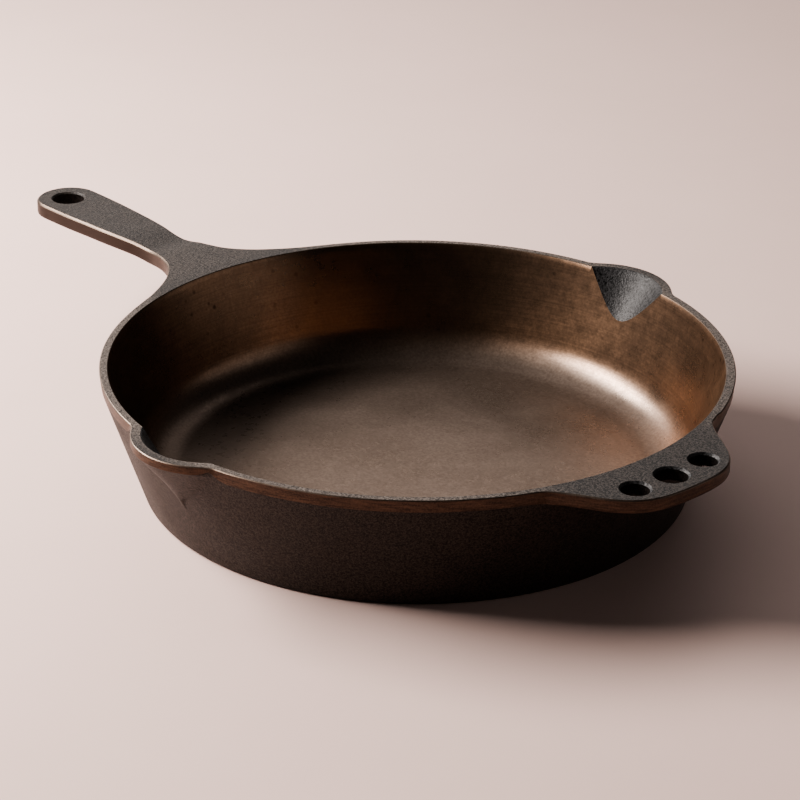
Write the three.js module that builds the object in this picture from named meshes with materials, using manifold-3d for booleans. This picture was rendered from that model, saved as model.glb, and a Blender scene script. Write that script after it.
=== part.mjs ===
// Cast iron skillet: one iron casting, seasoned, with a long flat handle, a three-hole helper handle and two pouring spouts.
// Units are millimetres, +Z is up. The origin is the centre of the flat base's underside.
// +X runs along the long handle, -X to the helper handle, and the two spouts look along +Y and -Y.
import * as THREE from 'three';
import { mergeVertices } from 'three/addons/utils/BufferGeometryUtils.js';
import Module from 'manifold-3d';

// ---- driving dimensions ----
const RIM_R = 152.4;            // rim outside radius: 12 in across the rim
const RIM_LAND = 4.0;           // width of the flat rim
const HEIGHT = 62.4;            // rim above the surface it stands on
const DRAFT = 0.3353;           // outside wall flare, radius gained per mm of height
const DRAFT_INSIDE = 0.31;      // inside wall flare
const WALL_TOP_R = 153.83;      // as-cast outside wall carried up to rim height, before its edge is ground back
const GROUND_BAND = 6.0;        // height of the ground edge round the rim
const BASE_EDGE_R = 2.6;        // radius round the base's edge
const FLOOR = 4.5;              // floor thickness
const FLOOR_FILLET = 22.0;      // inside radius between floor and wall
const ROUND = 120;              // facets round the pan

const PLATE = 7.8;              // thickness of the long handle and its web
const HANG_X = 284.9;           // centre of the hanging hole
const HANG_D = 17.0;            // hanging hole
// half width of the web and handle, by distance from the pan's centre
const HANDLE_HALF_WIDTH = [
  [112, 84], [130, 69], [139.9, 60.9], [142.6, 55.6], [144.6, 51.2], [147.2, 46.6], [151, 40.4], [155.2, 34.4],
  [160, 28.5], [165, 23.8], [172, 18.9], [179, 16.1], [186, 14.3], [193, 12.9], [200.5, 12.4], [208, 12.8],
  [216, 13.8], [231, 15.2], [246, 16.1], [258, 16.8], [270, 17.2], [280, 17.3], [284.7, 17.3], [289.2, 16.7],
  [293.35, 15.0], [296.95, 12.25], [299.7, 8.65], [301.4, 4.5],
];
const TIP_X = 302.0;
// top of the web and handle below rim height, by distance from the pan's centre: a shallow saddle at the neck
const HANDLE_DROP = [
  [100, 0], [180, 0], [186, -0.2], [191, -0.75], [197, -1.15], [203, -0.85], [210, -0.35], [218, -0.05], [228, 0],
  [245, 0], [260, -0.12], [285, -0.3], [310, -0.3],
];

const HELPER_THICK = 6.8;       // thickness of the helper handle
// half outline of the helper handle: distance out from the pan's centre, half width
const HELPER_OUTLINE = [
  [182.4, 6], [182.0, 12], [181.0, 18.4], [178.9, 24.6], [175.6, 30.2], [170.8, 35.2], [164.4, 39.9],
  [157.6, 43.9], [151.5, 47.6], [147.6, 50.2], [144.5, 52.6], [142.4, 55.2], [140.6, 58.7], [124, 70],
];
const HELPER_END = 182.5;
const HELPER_HOLES = [[168.1, 0, 15.0], [167.0, 21.9, 13.0], [167.0, -21.9, 13.0]];   // x out, y, diameter

// spouts: each groove and each outside bulge is an oblique cone, given by its radius and its outermost point at two heights
const GROOVE = { z0: 41.0, r0: 16.0, out0: 141.8, z1: HEIGHT, r1: 31.5, out1: 158.2 };
const BULGE = { z0: 34.5, r0: 2.0, out0: 144.3, z1: 58.4, r1: 36.0, out1: 163.4 };
const LIP_R = 36.0;
const SPOUTS = [[1, 0], [-1, 1.3]];   // side, +1 for +Y and -1 for -Y, and how far the spout sits towards the long handle

// ---- solids ----
const wasm = await Module();
wasm.setup();

function solid(geometry) {
  const g = geometry.clone();
  for (const name of Object.keys(g.attributes)) if (name !== 'position') g.deleteAttribute(name);
  const m = mergeVertices(g, 1e-4);
  return new wasm.Manifold(new wasm.Mesh({
    numProp: 3,
    vertProperties: new Float32Array(m.attributes.position.array),
    triVerts: new Uint32Array(m.index.array),
  }));
}

function geometryOf(manifold) {
  const mesh = manifold.getMesh();
  const g = new THREE.BufferGeometry();
  g.setAttribute('position', new THREE.BufferAttribute(new Float32Array(mesh.vertProperties), 3));
  g.setIndex(new THREE.BufferAttribute(new Uint32Array(mesh.triVerts), 1));
  return g;
}

// a solid of revolution about Z from [radius, height] points that start and end on the axis
function turned(points, facets) {
  const g = new THREE.LatheGeometry(points.map(([r, z]) => new THREE.Vector2(r, z)), facets);
  g.rotateX(Math.PI / 2);       // the lathe's axis is Y; this stands it on Z
  return solid(g);
}

// an outline in the XY plane, raised from z0 to z1
function plate(points, z0, z1) {
  const shape = new THREE.Shape(points.map(([x, y]) => new THREE.Vector2(x, y)));
  const g = new THREE.ExtrudeGeometry(shape, { depth: z1 - z0, bevelEnabled: false, steps: 1 });
  g.translate(0, 0, z0);
  return solid(g);
}

// a cone on the line from [z0, r0, out0] to [z1, r1, out1], run on to the heights lo and hi, on one side of the pan
function obliqueCone(c, lo, hi, [side, shift], facets) {
  const radius = (z) => c.r0 + (c.r1 - c.r0) * (z - c.z0) / (c.z1 - c.z0);
  const outer = (z) => c.out0 + (c.out1 - c.out0) * (z - c.z0) / (c.z1 - c.z0);
  const g = new THREE.CylinderGeometry(radius(hi), radius(lo), hi - lo, facets);
  g.rotateX(Math.PI / 2);
  g.translate(0, 0, (lo + hi) / 2);
  const p = g.attributes.position;
  for (let i = 0; i < p.count; i++) {
    const z = p.getZ(i);
    p.setX(i, p.getX(i) + shift);
    p.setY(i, p.getY(i) + side * (outer(z) - radius(z)));
  }
  return solid(g);
}

function postAt(x, y, z0, z1, radius, facets) {
  const g = new THREE.CylinderGeometry(radius, radius, z1 - z0, facets);
  g.rotateX(Math.PI / 2);
  g.translate(x, y, (z0 + z1) / 2);
  return solid(g);
}

// outside of the pan: base, edge radius, flared wall, ground band, rim
const wallOuter = (z) => WALL_TOP_R - (HEIGHT - z) * DRAFT;
const lean = Math.atan(DRAFT);
const outside = [[0, 0]];
const edgeCentreR = wallOuter(BASE_EDGE_R) - BASE_EDGE_R / Math.cos(lean);
for (let i = 0; i <= 4; i++) {
  const a = -Math.PI / 2 + (Math.PI / 2 - lean) * i / 4;
  outside.push([edgeCentreR + BASE_EDGE_R * Math.cos(a), BASE_EDGE_R + BASE_EDGE_R * Math.sin(a)]);
}
outside.push([wallOuter(HEIGHT - GROUND_BAND), HEIGHT - GROUND_BAND], [RIM_R, HEIGHT], [0, HEIGHT]);
let skillet = turned(outside, ROUND);

// web and long handle: the plan outline crossed with the side profile
const plan = [];
for (const [x, w] of HANDLE_HALF_WIDTH) plan.push([x, w]);
plan.push([TIP_X, 0]);
for (const [x, w] of [...HANDLE_HALF_WIDTH].reverse()) plan.push([x, -w]);
plan.reverse();
const profile = [
  ...HANDLE_DROP.map(([x, d]) => [x, HEIGHT + d]),
  ...[...HANDLE_DROP].reverse().map(([x, d]) => [x, HEIGHT + d - PLATE]),
].reverse();
const sideShape = new THREE.Shape(profile.map(([x, z]) => new THREE.Vector2(x, z)));
const sideGeometry = new THREE.ExtrudeGeometry(sideShape, { depth: 240, bevelEnabled: false, steps: 1 });
sideGeometry.rotateX(Math.PI / 2);      // the profile's height becomes Z, its depth runs along -Y
sideGeometry.translate(0, 120, 0);
const handle = plate(plan, HEIGHT - 20, HEIGHT + 20).intersect(solid(sideGeometry));
skillet = skillet.add(handle);

// helper handle
const helper = [];
for (const [x, y] of [...HELPER_OUTLINE].reverse()) helper.push([-x, y]);
helper.push([-HELPER_END, 0]);
for (const [x, y] of HELPER_OUTLINE) helper.push([-x, -y]);
skillet = skillet.add(plate(helper, HEIGHT - HELPER_THICK, HEIGHT));

// outside of the spouts: the bulge, and the upright lip above it
for (const spout of SPOUTS) {
  skillet = skillet.add(obliqueCone(BULGE, BULGE.z0, BULGE.z1, spout, 64));
  skillet = skillet.add(postAt(spout[1], spout[0] * (BULGE.out1 - LIP_R), BULGE.z1 - 0.01, HEIGHT, LIP_R, 64));
}

// the cooking space
const wallInner = (z) => RIM_R - RIM_LAND - (HEIGHT - z) * DRAFT_INSIDE;
const normal = Math.PI / 2 - Math.atan(DRAFT_INSIDE);   // turn of the fillet from floor to wall
const filletTopZ = FLOOR + FLOOR_FILLET * (1 - Math.cos(normal));
const filletR = wallInner(filletTopZ) - FLOOR_FILLET * Math.sin(normal);
const inside = [[0, FLOOR]];
for (let i = 0; i <= 8; i++) {
  const a = normal * i / 8;
  inside.push([filletR + FLOOR_FILLET * Math.sin(a), FLOOR + FLOOR_FILLET * (1 - Math.cos(a))]);
}
inside.push([wallInner(HEIGHT), HEIGHT], [wallInner(HEIGHT) + 2, HEIGHT + 6], [0, HEIGHT + 6]);
skillet = skillet.subtract(turned(inside, ROUND));

// pouring grooves
for (const spout of SPOUTS) skillet = skillet.subtract(obliqueCone(GROOVE, 39, HEIGHT + 3, spout, 64));

// holes through the handles
skillet = skillet.subtract(postAt(HANG_X, 0, HEIGHT - 20, HEIGHT + 20, HANG_D / 2, 32));
for (const [x, y, d] of HELPER_HOLES) skillet = skillet.subtract(postAt(-x, y, HEIGHT - 20, HEIGHT + 20, d / 2, 28));

const castIron = new THREE.MeshStandardMaterial({ name: 'seasoned_cast_iron', color: 0x3a3029, roughness: 0.52, metalness: 0.55 });
const casting = new THREE.Mesh(geometryOf(skillet), castIron);
casting.name = 'skillet_casting';

const group = new THREE.Group();
group.name = 'cast_iron_skillet';
group.add(casting);

export default group;
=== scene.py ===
import math

import bmesh
import bpy
import numpy as np
from mathutils import Matrix, Vector


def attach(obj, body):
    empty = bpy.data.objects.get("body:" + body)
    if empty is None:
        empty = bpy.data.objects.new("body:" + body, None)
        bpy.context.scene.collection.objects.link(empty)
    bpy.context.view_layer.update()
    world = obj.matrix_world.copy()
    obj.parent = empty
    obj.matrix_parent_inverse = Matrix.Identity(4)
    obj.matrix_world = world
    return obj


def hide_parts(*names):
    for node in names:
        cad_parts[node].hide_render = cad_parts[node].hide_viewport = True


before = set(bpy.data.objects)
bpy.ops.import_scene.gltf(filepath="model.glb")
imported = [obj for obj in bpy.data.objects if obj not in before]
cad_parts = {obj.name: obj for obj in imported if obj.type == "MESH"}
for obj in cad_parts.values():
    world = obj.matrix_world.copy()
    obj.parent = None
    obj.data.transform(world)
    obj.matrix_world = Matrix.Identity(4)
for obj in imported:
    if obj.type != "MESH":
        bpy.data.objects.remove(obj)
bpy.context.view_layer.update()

MM = 0.001

# ------------------------------------------------------------------ dimensions, mm, the same as the CAD part
RIM_R, RIM_LAND, H = 152.4, 4.0, 62.4
DRAFT, DRAFT_IN, WALL_TOP_R = 0.3353, 0.31, 153.83
BAND = 6.0
EDGE_R, FLOOR, FILLET = 2.6, 4.5, 22.0
PLATE, HELPER_T = 7.8, 6.8
HANG_X, HANG_D = 284.9, 17.0
TIP_X = 302.0
HELPER_HOLES = [(-168.1, 0.0, 15.0), (-167.0, 21.9, 13.0), (-167.0, -21.9, 13.0)]
GROOVE = dict(z0=41.0, r0=16.0, o0=141.8, z1=H, r1=31.5, o1=158.2)
BULGE = dict(z0=34.5, r0=2.0, o0=144.3, z1=58.4, r1=36.0, o1=163.4)
LIP_R = 36.0
SPOUTS = [(1, 0.0), (-1, 1.3)]     # side, and how far the spout sits towards the long handle

HANDLE = [(186, 14.3), (193, 12.9), (200.5, 12.4), (208, 12.8), (216, 13.8), (231, 15.2), (246, 16.1), (258, 16.8), (270, 17.2), (280, 17.3),
          (284.7, 17.3), (289.18, 16.71), (293.35, 14.98), (296.93, 12.23), (299.68, 8.65), (301.41, 4.48), (TIP_X, 0)]
WEB = [(193, 12.9), (186, 14.3), (179, 16.1), (172, 18.9), (165, 23.8), (160, 28.5), (155.2, 34.4), (151, 40.4), (147.2, 46.6)]
HELPER = [(182.5, 0), (182.4, 6), (182.0, 12), (181.0, 18.4), (178.9, 24.6), (175.6, 30.2), (170.8, 35.2), (164.4, 39.9),
          (157.6, 43.9), (151.5, 47.6), (147.6, 50.2), (144.5, 52.6), (142.4, 55.2), (140.6, 58.8), (138.5, 63.6)]
DROP = [(100, 0), (174, 0), (180, 0), (186, -0.2), (191, -0.75), (197, -1.15), (203, -0.85), (210, -0.35), (218, -0.05), (228, 0), (245, 0),
        (260, -0.12), (285, -0.3), (312, -0.3)]


def curve(points, per=24):
    """A smooth curve through the points: centripetal Catmull-Rom, sampled."""
    p = np.array(points, float)
    p = np.vstack([2 * p[0] - p[1], p, 2 * p[-1] - p[-2]])
    out = []
    for i in range(1, len(p) - 2):
        q = p[i - 1:i + 3]
        k = np.concatenate([[0], np.cumsum(np.sqrt(np.linalg.norm(np.diff(q, axis=0), axis=1)))])
        t = np.linspace(k[1], k[2], per, endpoint=False)[:, None]
        a1 = (k[1] - t) / (k[1] - k[0]) * q[0] + (t - k[0]) / (k[1] - k[0]) * q[1]
        a2 = (k[2] - t) / (k[2] - k[1]) * q[1] + (t - k[1]) / (k[2] - k[1]) * q[2]
        a3 = (k[3] - t) / (k[3] - k[2]) * q[2] + (t - k[2]) / (k[3] - k[2]) * q[3]
        b1 = (k[2] - t) / (k[2] - k[0]) * a1 + (t - k[0]) / (k[2] - k[0]) * a2
        b2 = (k[3] - t) / (k[3] - k[1]) * a2 + (t - k[1]) / (k[3] - k[1]) * a3
        out.append((k[2] - t) / (k[2] - k[1]) * b1 + (t - k[1]) / (k[2] - k[1]) * b2)
    out.append(p[-2][None, :])
    return np.vstack(out)


_drop = curve(DROP)
_dx = np.linspace(90, 315, 901)
_dz = np.interp(_dx, _drop[:, 0], _drop[:, 1])
_dz = np.convolve(np.pad(_dz, 12, mode="edge"), np.hanning(25) / np.hanning(25).sum(), mode="valid")


def drop(x):
    return np.minimum(np.interp(x, _dx, _dz), 0)


def smooth(x, a, b):
    t = np.clip((x - a) / (b - a), 0, 1)
    return t * t * (3 - 2 * t)


def smax(a, b, k):
    h = np.clip(1 - np.abs(a - b) / k, 0, 1)
    return np.maximum(a, b) + h * h * k / 4


# ------------------------------------------------------------------ outline of the rim plane, by direction from the pan's centre
def polar(points):
    p = np.array(points)
    a, r = np.degrees(np.arctan2(p[:, 1], p[:, 0])), np.hypot(p[:, 0], p[:, 1])
    o = np.argsort(a)
    return a[o], r[o]


_rad = lambda d, r: (r * math.cos(math.radians(d)), r * math.sin(math.radians(d)))
_wa, _wr = polar(curve(WEB + [_rad(19.4, 153.45), _rad(21.2, 153.05), _rad(23.4, 152.68), _rad(26, 152.47), _rad(29, 152.4), _rad(32, 152.4)]))
_ha, _hr = polar(curve(HELPER))


def cone(c, z):
    """Radius and outermost point of a spout cone at height z."""
    f = (z - c["z0"]) / (c["z1"] - c["z0"])
    return c["r0"] + (c["r1"] - c["r0"]) * f, c["o0"] + (c["o1"] - c["o0"]) * f


def ray_circle(phi, radius, out):
    """How far a ray at phi (radians) from the spout's axis runs to the far side of a circle whose outermost point is out."""
    yc = out - radius
    d = radius ** 2 - (yc * np.sin(phi)) ** 2
    return np.where((d > 0) & (np.abs(phi) < 1.2), yc * np.cos(phi) + np.sqrt(np.maximum(d, 0)), 0.0)


def off_spout(deg):
    """Angle from the nearer spout's axis, in degrees; the -Y spout sits a little towards the long handle."""
    a = (deg + 180) % 360 - 180
    return np.where(a >= 0, a - 90, a + 90 - SHIFT_DEG)


def r_out(deg):
    """Distance from the axis to the outline at rim height; deg is measured from the long handle."""
    a = np.abs((deg + 180) % 360 - 180)
    r = RIM_R + uneven(deg)
    r = np.where(a < 31, np.interp(a, _wa, _wr), r)
    r = np.where(a > 155, np.interp(180 - a, _ha, _hr), r)
    p = off_spout(deg)
    lip = ray_circle(np.radians(p), LIP_R, BULGE["o1"])
    return np.where(np.abs(p) < 17, smax(r, lip, 3.2), r)


SHIFT_DEG = math.degrees(math.atan2(SPOUTS[1][1], 150.0))


def uneven(deg):
    """The rim's edge is ground by hand, and stands a little fuller on one side."""
    return 0.75 * np.clip(np.cos(np.radians(deg - 226)), 0, 1) ** 2


def wall(z):
    return WALL_TOP_R - (H - z) * DRAFT


def r_wall(deg, z):
    """The outside wall with the spouts' bulges, below the rim's edge band."""
    p = off_spout(deg)
    radius, out = cone(BULGE, np.minimum(z, BULGE["z1"]))
    bulge = np.where(z > BULGE["z0"] - 6, ray_circle(np.radians(p), np.maximum(radius, 1.2), out), 0.0)
    k = 3.0 + 1.6 * smooth(BULGE["z1"] - z, 0, 9)
    plain = wall(z) + uneven(deg) * smooth(z, 0, H)
    return np.where(np.abs(p) < 19, smax(plain, bulge, k), plain)


# ------------------------------------------------------------------ the casting's mesh: one loft of sections round the axis
xn, wn = HANDLE[0]
thn = math.degrees(math.atan2(wn, xn))


def seg(a, b, n):
    return list(np.linspace(a, b, n, endpoint=False))


half = seg(0, thn, 10) + seg(thn, 27, 54) + seg(27, 75, 45) + seg(75, 105, 90) + seg(105, 156, 47) + seg(156, 180, 56) + [180.0]
deg = np.array(half + [360 - d for d in reversed(half[1:-1])])
nc = len(deg)
theta = np.radians(deg)
ux, uy = np.cos(theta), np.sin(theta)
inner_cols = np.abs((deg + 180) % 360 - 180) < thn - 1e-6      # these run into the long handle
jn = int(np.argmin(np.abs(deg - thn)))                          # column on the handle's left edge
jm = int(np.argmin(np.abs(deg - (360 - thn))))                  # and on its right edge

R = r_out(deg)
a = np.abs((deg + 180) % 360 - 180)
phi = np.abs(off_spout(deg))
is_web, is_tab, is_spout = a < 31, a > 155, phi < 17
plate_part = smooth(R - RIM_R, 0.6, 2.6) * (is_web | is_tab)
plate_part[inner_cols] = 1.0
T = np.full(nc, BAND)
T = np.where(is_web, BAND + (PLATE - BAND) * smooth(a, 25.5, 21), T)
T = np.where(is_tab, BAND + (HELPER_T - BAND) * smooth(180 - a, 23.5, 20), T)
T = np.where(is_spout, BAND + (4.0 - BAND) * smooth(phi, 15, 9.5) - 2.3 * np.exp(-((phi - 11.0) / 1.15) ** 2), T)

# width of the broken top edge
C = np.full(nc, 0.45)
C = np.where(is_web, 0.45 + 0.4 * smooth(R, 154, 175), C)
C = np.where(is_tab, 0.45 + 0.2 * smooth(R, 153.5, 160), C)

# the handle's stations, from the neck to the tip
tip = curve(HANDLE, 60)
length = np.concatenate([[0], np.cumsum(np.linalg.norm(np.diff(tip, axis=0), axis=1))])
total = length[-1]
st = np.concatenate([np.linspace(0, total - 42, 40), np.linspace(total - 42, total, 46)[1:]])
hp = np.stack([np.interp(st, length, tip[:, 0]), np.interp(st, length, tip[:, 1])], 1)     # left edge, y > 0
hp[-1, 1] = 0.0

# outward normals of the outline, all the way round: left edge from tip to neck, round the pan, right edge back to the tip
px, py = R * ux, R * uy
loop = np.vstack([hp[::-1][:-1], np.stack([px, py], 1)[jn:jm + 1], (hp * [1, -1])[1:-1]])
d = np.roll(loop, -1, 0) - np.roll(loop, 1, 0)
d /= np.linalg.norm(d, axis=1)[:, None]
loop_n = np.stack([d[:, 1], -d[:, 0]], 1)
nh = len(hp)
hn = loop_n[:nh][::-1].copy()                 # normals at the handle's left stations, neck first
hn[-1] = (1.0, 0.0)
NX, NY = ux.copy(), uy.copy()
NX[jn:jm + 1], NY[jn:jm + 1] = loop_n[nh - 1:nh - 1 + jm - jn + 1].T
hc = 1.1 * np.ones(nh)

rows = []          # each row is an (nc, 3) array; edge rows don't exist on the columns that run into the handle


def row(x, y, z, edge=False):
    z = np.broadcast_to(z, (nc,)).astype(float)
    rows.append((np.stack([x, y, z], 1), edge))


def ring(r, z):
    r = np.broadcast_to(r, (nc,))
    row(r * ux, r * uy, z)


# inside: floor, fillet, wall
lean_in = math.pi / 2 - math.atan(DRAFT_IN)
fil_z = FLOOR + FILLET * (1 - math.cos(lean_in))
fil_r = RIM_R - RIM_LAND - (H - fil_z) * DRAFT_IN - FILLET * math.sin(lean_in)
for f in (0.12, 0.25, 0.4, 0.55, 0.7, 0.82, 0.92, 0.97):
    ring(fil_r * f, FLOOR)
for i in range(17):
    t = lean_in * i / 16
    ring(fil_r + FILLET * math.sin(t), FLOOR + FILLET * (1 - math.cos(t)))
rin = RIM_R - RIM_LAND
for i in range(1, 17):
    z = fil_z + (H - 0.35 - fil_z) * i / 16
    ring(rin - (H - z) * DRAFT_IN, z)
inside_end = len(rows) - 1
ring(rin + 0.08, H - 0.12)
ring(rin + 0.3, H)
lip_end = len(rows) - 1

# top land, out to the broken edge, or to the neck on the columns that run into the handle
inset_x, inset_y = px - C * NX, py - C * NY
k = inner_cols
span = np.tan(theta[k]) / math.tan(math.radians(thn))
inset_x[k], inset_y[k] = inset_x[jn], span * inset_y[jn]
start = rin + 0.3
for f in (0.16, 0.34, 0.52, 0.7, 0.86, 1.0):
    x, y = start * ux + (inset_x - start * ux) * f, start * uy + (inset_y - start * uy) * f
    row(x, y, H + drop(x))
top_end = len(rows) - 1
for f in (0.33, 0.67, 1.0):
    s = math.sin(f * math.pi / 2) * 0.35 + f * 0.65
    e = (1 - math.cos(f * math.pi / 2)) * 0.35 + f * 0.65
    x, y = inset_x + C * NX * s, inset_y + C * NY * s
    row(x, y, H + drop(px) * plate_part - C * e, True)

# side of the rim, web and helper handle
r_low = r_wall(deg, H - T)
r_side = r_low * (1 - plate_part) + R * plate_part
bx, by = np.where(plate_part > 0.999, px, r_side * ux), np.where(plate_part > 0.999, py, r_side * uy)
over = np.maximum(r_side - r_low, 0)
CB = plate_part * np.minimum(1.3, 0.35 * over)
ztop, zlow = H + drop(px) * plate_part - C, H + drop(px) * plate_part - T + CB
for f in (0.25, 0.5, 0.75, 1.0):
    row(px + (bx - px) * f, py + (by - py) * f, ztop + (zlow - ztop) * f, True)
for f in (0.34, 0.67, 1.0):
    s, e = 1 - math.cos(f * math.pi / 2), math.sin(f * math.pi / 2)
    row(bx - CB * NX * s, by - CB * NY * s, zlow - CB * e, True)
under_start = len(rows) - 1
last = rows[-1][0]
last[k, 0], last[k, 1] = last[jn, 0], span * last[jn, 1]
last[k, 2] = H - PLATE + drop(last[k, 0])
rows[-1] = (last, False)

# underside of the plates, and the fillet into the wall
rho = plate_part * np.minimum(7.0, 0.8 * np.maximum(np.hypot(last[:, 0], last[:, 1]) - r_low, 0))
tl = 0.72 * rho
t1 = r_low + tl
for f in (0.2, 0.4, 0.6, 0.8, 1.0):
    x, y = last[:, 0] + (t1 * ux - last[:, 0]) * f, last[:, 1] + (t1 * uy - last[:, 1]) * f
    zz = (H - T) + drop(x) * plate_part
    row(x, y, zz)
slope = np.array([math.sin(math.atan(DRAFT)), math.cos(math.atan(DRAFT))])
for f in (0.2, 0.4, 0.6, 0.8, 1.0):
    b0, b1, b2 = (1 - f) ** 2, 2 * f * (1 - f), f * f
    ring(b0 * t1 + b1 * r_low + b2 * (r_low - tl * slope[0]), b0 * (H - T) + b1 * (H - T) + b2 * (H - T - tl * slope[1]))
z_start = H - T - tl * slope[1]

# outside wall, base edge, base
edge_lean = math.atan(DRAFT)
ec = wall(EDGE_R) - EDGE_R / math.cos(edge_lean)
z_edge = EDGE_R - EDGE_R * math.sin(edge_lean)
mid = 31.0
for i in range(1, 33):
    z = z_start + (mid - z_start) * i / 32
    ring(r_wall(deg, z), z)
for i in range(1, 13):
    z = mid + (z_edge - mid) * i / 12
    ring(wall(z) + uneven(deg) * smooth(z, 0, H), z)
for i in range(1, 7):
    t = -edge_lean - (math.pi / 2 - edge_lean) * i / 6
    ring(ec + EDGE_R * math.cos(t), EDGE_R + EDGE_R * math.sin(t))
for f in (0.97, 0.9, 0.75, 0.55, 0.35, 0.15):
    ring(ec * f, 0.0)

nr = len(rows)
verts = [np.vstack([r[0] for r in rows])]
index = np.arange(nr * nc).reshape(nr, nc)
CAST, TOP, MACHINED, GROUND, BEVEL, GROOVED, BORE, LIP = range(8)      # the casting's finishes, one material each


def finish_of(i):
    """The finish between row i and row i + 1."""
    if i < inside_end:
        return MACHINED
    if i < lip_end:
        return LIP
    if i < top_end:
        return TOP
    if i < top_end + 3:
        return BEVEL
    return GROUND if i < under_start else CAST


faces, finish = [], []
for i in range(nr - 1):
    on_edge = top_end <= i < under_start
    for j in range(nc):
        m = (j + 1) % nc
        if on_edge and (inner_cols[j] or inner_cols[m]):
            continue
        faces.append((index[i, j], index[i, m], index[i + 1, m], index[i + 1, j]))
        finish.append(finish_of(i))
nv = nr * nc
verts.append(np.array([[0, 0, FLOOR], [0, 0, 0.0]]))
for j in range(nc):
    m = (j + 1) % nc
    faces.append((nv, index[0, m], index[0, j]))
    faces.append((nv + 1, index[nr - 1, j], index[nr - 1, m]))
    finish += [MACHINED, CAST]
nv += 2

# the long handle, from the neck's ring of vertices to the tip
cols_l = list(range(jn, -1, -1))
cols_r = list(range(nc - 1, jm - 1, -1))
across = cols_l + cols_r                                   # left edge to right edge
edge_rows = list(range(top_end + 1, under_start))
neck = [index[top_end, j] for j in across] + [index[i, jm] for i in edge_rows] \
    + [index[under_start, j] for j in reversed(across)] + [index[i, jn] for i in reversed(edge_rows)]
top0 = rows[top_end][0][across]
share = top0[:, 1] / top0[0, 1]                             # 1 at the left edge, -1 at the right
ns = len(across)
around = [TOP] * (ns - 1) + [BEVEL] * 3 + [GROUND] * 7 + [CAST] * (ns - 1) + [GROUND] * 7 + [BEVEL] * 3
prev = neck
for s_i in range(1, nh):
    x, w = hp[s_i]
    n = hn[s_i]
    c, cb = hc[s_i], 1.3
    tight = min(1.0, (w + 0.001) / 3.0)
    ring_pts = []
    ix, iy = x - c * n[0], max(w - c * n[1], 0.0)
    for q in share:
        ring_pts.append((ix, iy * q, H + drop(ix)))
    right, left = [], []
    for f in (0.33, 0.67, 1.0):
        s = math.sin(f * math.pi / 2) * 0.35 + f * 0.65
        e = (1 - math.cos(f * math.pi / 2)) * 0.35 + f * 0.65
        left.append((ix + c * n[0] * s, iy + (w - iy) * s, H + drop(x) - c * e))
    zt, zl = H + drop(x) - c, H + drop(x) - PLATE + cb
    for f in (0.25, 0.5, 0.75, 1.0):
        left.append((x, w, zt + (zl - zt) * f))
    bxx, byy = x - cb * n[0], max(w - cb * n[1], 0.0)
    for f in (0.34, 0.67):
        s, e = 1 - math.cos(f * math.pi / 2), math.sin(f * math.pi / 2)
        left.append((x + (bxx - x) * s, w + (byy - w) * s, zl - cb * e))
    right = [(p[0], -p[1], p[2]) for p in left]
    low = [(bxx, byy * q, H + drop(x) - PLATE) for q in share]
    ring_pts += right + low[::-1] + left[::-1]
    verts.append(np.array(ring_pts))
    here = list(range(nv, nv + len(ring_pts)))
    nv += len(ring_pts)
    m = len(here)
    for q in range(m):
        p2 = (q + 1) % m
        faces.append((prev[q], prev[p2], here[p2], here[q]))
        finish.append(around[q])
    prev = here

V = np.vstack(verts) * MM
mesh = bpy.data.meshes.new("skillet_casting_fine")
mesh.from_pydata([tuple(v) for v in V], [], [tuple(int(q) for q in f) for f in faces])
mesh.polygons.foreach_set("material_index", np.array(finish, dtype=np.int32))
# ------------------------------------------------------------------ finishes
class Finish:
    """A small builder for a procedural iron finish. Every texture is laid out in the part's own metres."""

    def __init__(self, name):
        self.m = bpy.data.materials.new(name)
        self.m.use_nodes = True
        self.t = self.m.node_tree
        self.out = self.t.nodes["Principled BSDF"]
        self.place = self.t.nodes.new("ShaderNodeTexCoord").outputs["Object"]

    def node(self, kind, inputs=(), **props):
        n = self.t.nodes.new(kind)
        for k_, v_ in props.items():
            setattr(n, k_, v_)
        for k_, v_ in dict(inputs).items():
            if isinstance(v_, bpy.types.NodeSocket):
                self.t.links.new(v_, n.inputs[k_])
            else:
                n.inputs[k_].default_value = v_
        return n

    def noise(self, scale, detail=2.0, rough=0.5, vector=None, distortion=0.0):
        return self.node("ShaderNodeTexNoise", {"Vector": vector or self.place, "Scale": scale, "Detail": detail, "Roughness": rough, "Distortion": distortion}).outputs["Fac"]

    def math(self, op, a_, b_=0.0, c_=0.0, clamp=False):
        return self.node("ShaderNodeMath", {0: a_, 1: b_, 2: c_}, operation=op, use_clamp=clamp).outputs[0]

    def remap(self, v_, a_, b_, c_, d_):
        return self.node("ShaderNodeMapRange", {"Value": v_, "From Min": a_, "From Max": b_, "To Min": c_, "To Max": d_}).outputs[0]

    def mix(self, f_, a_, b_):
        n = self.t.nodes.new("ShaderNodeMix")
        n.data_type = "RGBA"
        for i_, v_ in ((0, f_), (6, a_), (7, b_)):
            if isinstance(v_, bpy.types.NodeSocket):
                self.t.links.new(v_, n.inputs[i_])
            else:
                n.inputs[i_].default_value = v_ if i_ == 0 else (*v_, 1)
        return n.outputs[2]

    def bump(self, height, strength, distance, normal=None):
        ins = {"Height": height, "Strength": strength, "Distance": distance}
        if normal is not None:
            ins["Normal"] = normal
        return self.node("ShaderNodeBump", ins).outputs["Normal"]

    def set(self, **sockets):
        for k_, v_ in sockets.items():
            k_ = k_.replace("_", " ").title().replace("Ior", "IOR")
            if isinstance(v_, bpy.types.NodeSocket):
                self.t.links.new(v_, self.out.inputs[k_])
            else:
                self.out.inputs[k_].default_value = (*v_, 1) if isinstance(v_, tuple) else v_
        return self.m


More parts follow.
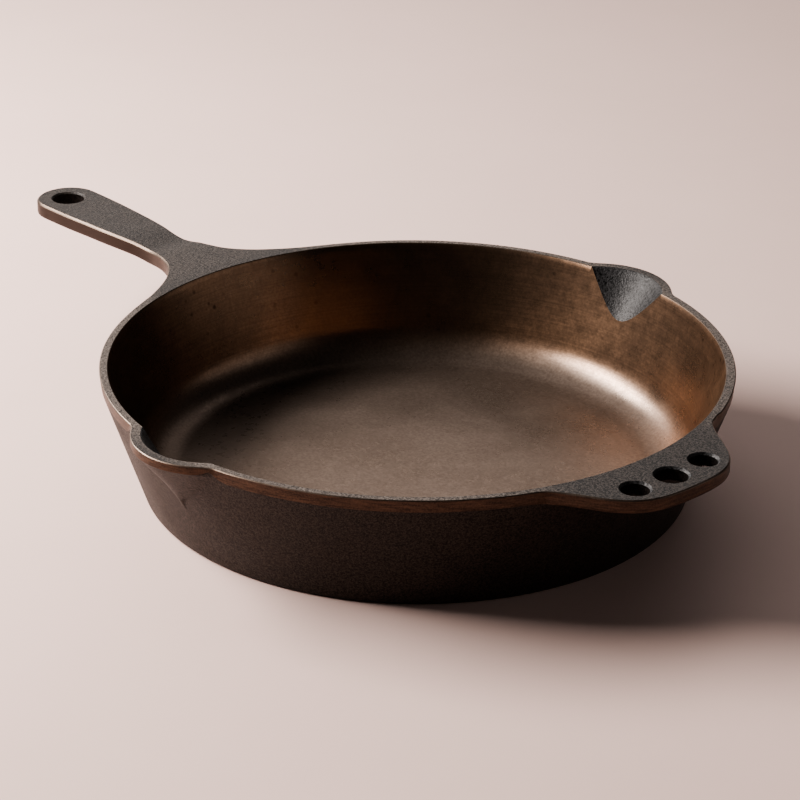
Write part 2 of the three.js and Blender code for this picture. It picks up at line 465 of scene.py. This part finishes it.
def sand_cast(name, dark, light, spec, rough, grain, size=1.0, rim=None):
    """Sand-cast skin: close grain, the odd pit and coarser blotches from the mould and the seasoning."""
    f = Finish(name)
    fine = f.noise(1250 / size, 2.0, 0.6)
    mid_ = f.noise(640 / size, 3.0, 0.65)
    coarse = f.noise(38, 4.0, 0.6)
    pits = f.node("ShaderNodeTexVoronoi", {"Vector": f.place, "Scale": 420 / size, "Randomness": 1.0}).outputs["Distance"]
    pit = f.remap(pits, 0.05, 0.32, 0.0, 1.0)
    height = f.math("MULTIPLY_ADD", fine, 0.52, f.math("MULTIPLY_ADD", mid_, 0.48, f.math("MULTIPLY", pit, 0.12)))
    tone = f.remap(height, 0.52, 0.72, 0.0, 1.0)
    tone = f.math("ADD", tone, f.remap(coarse, 0.3, 0.7, -0.08, 0.08), clamp=True)
    if rim:                                                             # the helper handle came out of the sand rougher than the rest
        x_ = f.node("ShaderNodeSeparateXYZ", {"Vector": f.place}).outputs["X"]
        tone = f.math("MULTIPLY_ADD", f.math("SUBTRACT", tone, 0.5), f.remap(x_, -0.160, -0.060, 2.2, 1.0), 0.5, clamp=True)
    base = f.mix(tone, dark, light)
    if rim:                                                             # the rim itself is handled most, and worn lighter
        flat = f.node("ShaderNodeVectorMath", {0: f.place, 1: (1.0, 1.0, 0.0)}, operation="MULTIPLY").outputs[0]
        radius_ = f.node("ShaderNodeVectorMath", {0: flat}, operation="LENGTH").outputs["Value"]
        y_ = f.math("ABSOLUTE", f.node("ShaderNodeSeparateXYZ", {"Vector": f.place}).outputs["Y"])
        worn = f.math("MULTIPLY", f.remap(radius_, 0.152, 0.162, 1.0, 0.0), f.remap(y_, 0.040, 0.075, 0.0, 1.0))
        base = f.mix(worn, base, f.mix(tone, *rim))
        web_painted_sheen = f.math("MULTIPLY", f.remap(x_, 0.146, 0.158, 0.0, 0.15), f.remap(x_, 0.180, 0.196, 1.0, 0.0))
        base = f.mix(web_painted_sheen, base, f.mix(tone, *rim))                     # and the web a little lighter: painted sheen
    f.set(base_color=base, specular_ior_level=spec, roughness=f.remap(coarse, 0.3, 0.7, rough - 0.05, rough + 0.06),
          normal=f.bump(height, grain, 0.0006))
    return f.m


def machined():
    """Cooking surface: turned in a lathe, then seasoned. Faint rings, bronze brown, clouded, with small dark specks."""
    f = Finish("machined_seasoned_iron")
    flat = f.node("ShaderNodeVectorMath", {0: f.place, 1: (1.0, 1.0, 0.0)}, operation="MULTIPLY").outputs[0]
    radius_ = f.node("ShaderNodeVectorMath", {0: flat}, operation="LENGTH").outputs["Value"]
    z_ = f.node("ShaderNodeSeparateXYZ", {0: f.place}).outputs["Z"]
    along = f.math("MULTIPLY_ADD", z_, 1.0, radius_)                    # runs out over the floor and up the wall
    line = f.node("ShaderNodeCombineXYZ", {0: along, 1: 0.0, 2: 0.0}).outputs[0]
    fine_ring = f.noise(900, 3.0, 0.7, f.node("ShaderNodeVectorMath", {0: line, 1: f.node("ShaderNodeVectorMath", {0: f.place, 1: (0.02, 0.02, 0.0)}, operation="MULTIPLY").outputs[0]}, operation="ADD").outputs[0])
    broad_ring = f.noise(160, 3.0, 0.6, line)
    cloud = f.noise(21, 5.0, 0.6, distortion=0.4)
    mottle = f.noise(210, 4.0, 0.65)
    speck = f.noise(720, 3.0, 0.65)
    blot = f.node("ShaderNodeTexVoronoi", {"Vector": f.place, "Scale": 150.0, "Randomness": 1.0}).outputs["Distance"]
    blot = f.math("MULTIPLY", f.remap(blot, 0.10, 0.22, 1.0, 0.0), f.remap(f.noise(33, 3.0), 0.52, 0.62, 0.0, 1.0))
    wall_part = f.node("ShaderNodeMapRange", {"Value": z_, "From Min": 0.006, "From Max": 0.022, "To Min": 0.0, "To Max": 1.0}, interpolation_type="SMOOTHSTEP").outputs[0]
    tone = f.remap(cloud, 0.3, 0.7, 0.0, 1.0)
    base = f.mix(wall_part, f.mix(tone, *MACH_FLOOR), f.mix(tone, *MACH_WALL))
    base = f.mix(f.remap(mottle, 0.35, 0.7, 0.0, 0.4), base, f.mix(wall_part, *MACH_BRIGHT))
    unit = f.node("ShaderNodeVectorMath", {0: flat}, operation="NORMALIZE").outputs[0]
    facing = f.node("ShaderNodeVectorMath", {0: unit, 1: (0.805, -0.593, 0.0)}, operation="DOT_PRODUCT").outputs["Value"]
    painted_shade_arc = f.node("ShaderNodeMapRange", {"Value": facing, "From Min": 0.86, "From Max": 0.975, "To Min": 0.0, "To Max": 0.62}, interpolation_type="SMOOTHSTEP").outputs[0]
    base = f.mix(f.math("MULTIPLY", painted_shade_arc, wall_part), base, (0.030, 0.017, 0.011))     # painted shade: the wall between the spout and the handle is painted darker, where it lies in shade
    base = f.mix(f.remap(speck, 0.36, 0.64, 0.0, 0.38), base, MACH_SPECK)
    base = f.mix(f.math("MULTIPLY", blot, f.remap(wall_part, 0.3, 1.0, 0.0, 0.8)), base, (0.035, 0.018, 0.010))
    rough = f.math("ADD", f.remap(cloud, 0.3, 0.7, MACH_ROUGH - 0.04, MACH_ROUGH + 0.05), f.remap(mottle, 0.3, 0.7, 0.04, -0.04))
    base = f.mix(f.math("MULTIPLY", f.remap(fine_ring, 0.42, 0.66, 0.0, 1.0), f.remap(wall_part, 0.0, 1.0, 0.07, 0.35)), base, MACH_SPECK)
    height = f.math("MULTIPLY_ADD", f.math("MULTIPLY", fine_ring, f.remap(wall_part, 0.0, 1.0, 0.12, 0.5)), 1.0, f.math("MULTIPLY_ADD", speck, 0.35, f.math("MULTIPLY", mottle, 0.18)))
    n_ = f.bump(height, 0.35, 0.00007)
    n_ = f.bump(broad_ring, 0.25, 0.00005, n_)
    f.set(base_color=base, metallic=f.remap(wall_part, 0.0, 1.0, *MACH_METAL), roughness=rough, normal=n_, specular_tint=(0.42, 0.34, 0.29), coat_weight=0.15, coat_roughness=0.42)
    return f.m


def ground(name, dark, light, metal, rough):
    """Edges cleaned up on a grinding belt, then seasoned: chocolate brown, with faint drag marks along the edge."""
    f = Finish(name)
    stretch = f.node("ShaderNodeVectorMath", {0: f.place, 1: (1.0, 1.0, 9.0)}, operation="MULTIPLY").outputs[0]
    drag = f.noise(130, 4.0, 0.6, stretch)
    fine = f.noise(1300, 3.0, 0.6)
    cloud = f.noise(40, 3.0, 0.5)
    tone = f.math("ADD", f.remap(drag, 0.3, 0.7, 0.0, 0.7), f.remap(fine, 0.35, 0.7, -0.1, 0.35), clamp=True)
    x_ = f.node("ShaderNodeSeparateXYZ", {"Vector": f.place}).outputs["X"]
    tone = f.math("MULTIPLY", tone, f.remap(x_, 0.15, 0.20, 1.0, HANDLE_EDGE_PAINTED_SHADE))  # painted shade: the long handle's ground edges are painted darker
    f.set(base_color=f.mix(tone, dark, light), metallic=metal, specular_ior_level=0.3, roughness=f.remap(cloud, 0.3, 0.7, rough - 0.05, rough + 0.05),
          normal=f.bump(f.math("ADD", drag, f.math("MULTIPLY", fine, 0.6)), 0.35, 0.0001))
    return f.m


# how dark the painted shade on the long handle's ground edges is
HANDLE_EDGE_PAINTED_SHADE = 0.12
MACH_FLOOR = (0.145, 0.113, 0.093), (0.215, 0.172, 0.144)        # dark and light of the clouding
MACH_WALL = (0.155, 0.095, 0.063), (0.275, 0.166, 0.103)
MACH_BRIGHT = (0.26, 0.205, 0.17), (0.24, 0.150, 0.092)          # floor and wall
MACH_SPECK = (0.060, 0.036, 0.024)
MACH_ROUGH, MACH_METAL = 0.30, (0.68, 0.86)
FINISHES = [
    sand_cast("as_cast_iron", (0.005, 0.0036, 0.0030), (0.048, 0.036, 0.030), 0.17, 0.50, 0.7, 0.8),
    sand_cast("as_cast_iron_flat", (0.004, 0.0033, 0.003), (0.058, 0.049, 0.044), 0.20, 0.50, 0.9, 0.8, rim=((0.022, 0.0165, 0.0135), (0.150, 0.124, 0.108))),
    machined(),
    ground("ground_edge_iron", (0.018, 0.009, 0.0055), (0.115, 0.064, 0.040), 0.45, 0.45),
    ground("ground_bevel_iron", (0.075, 0.055, 0.043), (0.165, 0.129, 0.106), 0.85, 0.40),
    sand_cast("as_cast_iron_spout", (0.003, 0.003, 0.003), (0.046, 0.045, 0.047), 0.22, 0.46, 0.8, 1.15),
    # the bores are painted near-black: painted shade inside the holes
    sand_cast("as_cast_iron_hole_painted_shade", (0.002, 0.0015, 0.0012), (0.012, 0.009, 0.008), 0.06, 0.65, 0.8),
    ground("worn_lip_iron", (0.045, 0.030, 0.021), (0.105, 0.077, 0.058), 0.7, 0.45),
]
for m_ in FINISHES:
    mesh.materials.append(m_)
bm = bmesh.new()
bm.from_mesh(mesh)
bmesh.ops.remove_doubles(bm, verts=bm.verts, dist=2e-6)
bmesh.ops.dissolve_degenerate(bm, dist=1e-7, edges=bm.edges)
bmesh.ops.recalc_face_normals(bm, faces=bm.faces)
open_edges = [e for e in bm.edges if len(e.link_faces) != 2]
print("casting mesh:", len(bm.verts), "verts", len(bm.faces), "faces", len(open_edges), "open edges", "volume cm3", bm.calc_volume() * 1e6)
bm.to_mesh(mesh)
bm.free()
pan = bpy.data.objects.new("skillet_casting_fine", mesh)
bpy.context.scene.collection.objects.link(pan)


# ------------------------------------------------------------------ cutters: pouring grooves and holes
def loft_solid(name, rings_, finish_no, bevel_from=None, edge=BEVEL):
    vs, fs, mi = [], [], []
    n = len(rings_[0])
    for r in rings_:
        vs += [tuple(np.array(p) * MM) for p in r]
    for i in range(len(rings_) - 1):
        for j in range(n):
            m_ = (j + 1) % n
            fs.append((i * n + j, i * n + m_, (i + 1) * n + m_, (i + 1) * n + j))
            mi.append(edge if bevel_from is not None and i >= bevel_from else finish_no)
    mi += [finish_no, finish_no]
    fs.append(tuple(reversed(range(n))))
    fs.append(tuple(range((len(rings_) - 1) * n, len(rings_) * n)))
    me = bpy.data.meshes.new(name)
    me.from_pydata(vs, [], fs)
    for f_ in FINISHES:
        me.materials.append(f_)
    me.polygons.foreach_set("material_index", np.array(mi, dtype=np.int32))
    b = bmesh.new()
    b.from_mesh(me)
    bmesh.ops.recalc_face_normals(b, faces=b.faces)
    b.to_mesh(me)
    b.free()
    ob = bpy.data.objects.new(name, me)
    bpy.context.scene.collection.objects.link(ob)
    return ob


def circle(x, y, z, r, n):
    return [(x + r * math.cos(2 * math.pi * i / n), y + r * math.sin(2 * math.pi * i / n), z) for i in range(n)]


cutters = []
for side, shift in SPOUTS:
    rr = []
    for z in list(np.linspace(39.6, H - 0.35, 16)) + [H, H + 3]:
        radius, out = cone(GROOVE, z)
        flare = 0.3 if z >= H else 0.0
        rr.append(circle(shift, side * (out - radius), z, radius + flare, 128))
    cutters.append(loft_solid("cut_groove", rr, GROOVED))


def hole(x, y, d, top, bottom, ch, edge, n=72):
    r = d / 2
    return loft_solid("cut_hole", [circle(x, y, bottom - 2, r + ch * 0.8 + 2, n), circle(x, y, bottom + ch * 0.8, r, n),
                                   circle(x, y, top - ch, r, n), circle(x, y, top - ch * 0.45, r + ch * 0.4, n), circle(x, y, top + 0.02, r + ch, n), circle(x, y, top + 2, r + ch + 1.6, n)], BORE, 2, edge)


cutters.append(hole(HANG_X, 0, HANG_D, H - 0.3, H - 0.3 - PLATE, 0.95, TOP))
for x, y, d_ in HELPER_HOLES:
    cutters.append(hole(x, y, d_, H, H - HELPER_T, 1.1, GROOVED))

for c_ in cutters:
    mod = pan.modifiers.new("cut", "BOOLEAN")
    mod.operation = "DIFFERENCE"
    mod.object = c_
    mod.solver = "MANIFOLD"
dg = bpy.context.evaluated_depsgraph_get()
done = bpy.data.meshes.new_from_object(pan.evaluated_get(dg), depsgraph=dg)
pan.modifiers.clear()
old = pan.data
pan.data = done
for c_ in cutters:
    m_ = c_.data
    bpy.data.objects.remove(c_)
    bpy.data.meshes.remove(m_)
bpy.data.meshes.remove(old)
bm = bmesh.new()
bm.from_mesh(pan.data)
bmesh.ops.remove_doubles(bm, verts=bm.verts, dist=1e-6)
bmesh.ops.dissolve_degenerate(bm, dist=1e-7, edges=bm.edges)
print("after cutting:", len(bm.verts), "verts", len(bm.faces), "faces", len([e for e in bm.edges if len(e.link_faces) != 2]), "open edges", "volume cm3", bm.calc_volume() * 1e6)
bm.to_mesh(pan.data)
bm.free()
pan.data.name = "skillet_casting_fine"
for p in pan.data.polygons:
    p.use_smooth = True
pan.data.set_sharp_from_angle(angle=math.radians(28))
bm = bmesh.new()                                            # the grooves and bores keep a crisp outline
bm.from_mesh(pan.data)
for e in bm.edges:
    if len(e.link_faces) == 2:
        kinds = {f_.material_index for f_ in e.link_faces}
        if len(kinds) == 2 and (GROOVED in kinds or BORE in kinds):
            e.smooth = False
bm.to_mesh(pan.data)
bm.free()

used = np.zeros(len(pan.data.polygons), dtype=np.int32)
pan.data.polygons.foreach_get("material_index", used)
print("faces of each finish:", np.bincount(used, minlength=8), [m_.name if m_ else None for m_ in pan.data.materials])
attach(pan, "root")
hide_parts("skillet_casting")

# ------------------------------------------------------------------ floor, lights, camera
floor_mesh = bpy.data.meshes.new("floor")
floor_mesh.from_pydata([(-4, -4, 0), (4, -4, 0), (4, 4, 0), (-4, 4, 0)], [], [(0, 1, 2, 3)])
floor = bpy.data.objects.new("floor", floor_mesh)
bpy.context.scene.collection.objects.link(floor)
fm = bpy.data.materials.new("floor_paint")
fm.use_nodes = True
paint = fm.node_tree.nodes.new("ShaderNodeMix")                # brushed on by hand, so very faintly clouded
paint.data_type = "RGBA"
paint.inputs[6].default_value, paint.inputs[7].default_value = (0.705, 0.525, 0.477, 1), (0.770, 0.580, 0.530, 1)
cloud_ = fm.node_tree.nodes.new("ShaderNodeTexNoise")
cloud_.inputs["Scale"].default_value, cloud_.inputs["Detail"].default_value, cloud_.inputs["Roughness"].default_value = 7.0, 7.0, 0.62
fm.node_tree.links.new(fm.node_tree.nodes.new("ShaderNodeTexCoord").outputs["Object"], cloud_.inputs["Vector"])
fm.node_tree.links.new(cloud_.outputs["Fac"], paint.inputs[0])
fm.node_tree.links.new(paint.outputs[2], fm.node_tree.nodes["Principled BSDF"].inputs["Base Color"])
fm.node_tree.nodes["Principled BSDF"].inputs["Roughness"].default_value = 0.8
floor_mesh.materials.append(fm)

# the view: camera place and axes in the part's frame
CAM_AT = (-0.930939, 0.848826, 0.626376)
CAM_RIGHT = (-0.6668980, -0.7451221, 0.0063429)
CAM_UP = (0.3184199, -0.2772751, 0.9064917)
CAM_BACK = (-0.6736882, 0.6065572, 0.4221759)
VIEW_RIGHT, VIEW_AWAY = (-0.67377, -0.73894), (0.73894, -0.67377)
cam_data = bpy.data.cameras.new("camera")
cam_data.lens = 128.886
cam_data.sensor_width = 36.0
cam_data.clip_start, cam_data.clip_end = 0.05, 30
camera = bpy.data.objects.new("camera", cam_data)
bpy.context.scene.collection.objects.link(camera)
camera.matrix_world = Matrix(((CAM_RIGHT[0], CAM_UP[0], CAM_BACK[0], CAM_AT[0]), (CAM_RIGHT[1], CAM_UP[1], CAM_BACK[1], CAM_AT[1]),
                              (CAM_RIGHT[2], CAM_UP[2], CAM_BACK[2], CAM_AT[2]), (0, 0, 0, 1)))
bpy.context.scene.camera = camera

KEY_DIR, KEY_POWER, KEY_COLOR = (-0.79, 0.22, 0.56), 43, (1.0, 0.93, 0.88)
SIDE_LOBE, SIDE_GLOW = ((0.96, -0.22, 0.16), 0.83, 0.93), 0.60
BACK_LOBE, BACK_GLOW, ROOM_GLOW, ROOM_COLOR = ((-0.15, 0.85, 0.42), 0.68, 0.96), 1.20, 0.030, (1.0, 0.93, 0.90)


def view_dir(x, y, z):
    """A direction given as right, away and up in the view's level frame, in the part's frame."""
    r_, f_ = VIEW_RIGHT, VIEW_AWAY
    return Vector((r_[0] * x + f_[0] * y, r_[1] * x + f_[1] * y, z))


def area(name, direction, distance, size, power, color, target=(0, 0, 0.03)):
    l = bpy.data.lights.new(name, "AREA")
    l.shape = "RECTANGLE"
    l.size, l.size_y = size
    l.energy = power
    l.color = color
    o = bpy.data.objects.new(name, l)
    bpy.context.scene.collection.objects.link(o)
    d_ = view_dir(*direction).normalized()
    o.location = Vector(target) + d_ * distance
    o.rotation_euler = (-d_).to_track_quat("-Z", "Y").to_euler()
    return o


# a big soft key from the left and a little behind, and a dim room whose light comes mostly from behind the pan
area("key", KEY_DIR, 1.2, (0.95, 0.31), KEY_POWER, KEY_COLOR)
world = bpy.data.worlds.new("soft_room")
world.use_nodes = True
wt = world.node_tree
where = wt.nodes.new("ShaderNodeTexCoord").outputs["Generated"]


def lobe(direction, low, high):
    """1 near a direction of the room, falling to 0; low and high are cosines."""
    dot = wt.nodes.new("ShaderNodeVectorMath")
    dot.operation = "DOT_PRODUCT"
    wt.links.new(where, dot.inputs[0])
    dot.inputs[1].default_value = view_dir(*direction).normalized()
    r_ = wt.nodes.new("ShaderNodeMapRange")
    r_.interpolation_type = "SMOOTHSTEP"
    wt.links.new(dot.outputs["Value"], r_.inputs["Value"])
    r_.inputs["From Min"].default_value, r_.inputs["From Max"].default_value = low, high
    return r_.outputs[0]


glow = wt.nodes.new("ShaderNodeMath")
glow.operation = "MULTIPLY_ADD"
wt.links.new(lobe(*BACK_LOBE), glow.inputs[0])
glow.inputs[1].default_value = BACK_GLOW
side = wt.nodes.new("ShaderNodeMath")
side.operation = "MULTIPLY_ADD"
wt.links.new(lobe(*SIDE_LOBE), side.inputs[0])
side.inputs[1].default_value = SIDE_GLOW
side.inputs[2].default_value = ROOM_GLOW
wt.links.new(side.outputs[0], glow.inputs[2])
wt.nodes["Background"].inputs["Color"].default_value = (*ROOM_COLOR, 1)
wt.links.new(glow.outputs[0], wt.nodes["Background"].inputs["Strength"])
bpy.context.scene.world = world
bpy.context.scene.view_settings.look = "AgX - Medium High Contrast"
